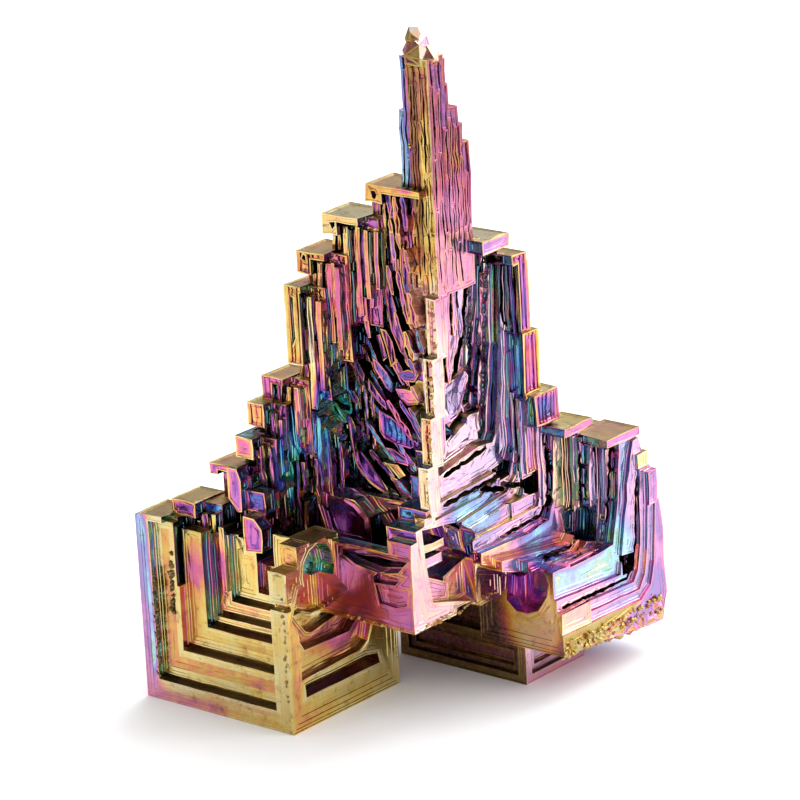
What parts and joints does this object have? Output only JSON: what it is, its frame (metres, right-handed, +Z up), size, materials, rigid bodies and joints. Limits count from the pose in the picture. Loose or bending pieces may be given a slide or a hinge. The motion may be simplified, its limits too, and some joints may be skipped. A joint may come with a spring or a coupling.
{
  "type": "bismuth crystal cluster",
  "caption": "Bismuth hopper crystal cluster with stepped arms, terraced bowls, an upright spire, a hollow cube and a low wing, under iridescent oxide.",
  "frame": {"origin": "centre of the bounding box, at the level of the undersides it rests on", "axes": "+Z up along the spire; -Y is the side of the left arm and the cube's nested frames, +X is the side of the right arm and the wing"},
  "size_m": [0.0376, 0.0408, 0.0712],
  "materials": {
    "oxidised_bismuth": "mirror-like crystal faces under a thin iridescent oxide film"
  },
  "bodies": {
    "root": {"bismuth_crystal_cluster": "oxidised_bismuth"}
  },
  "joints": []
}
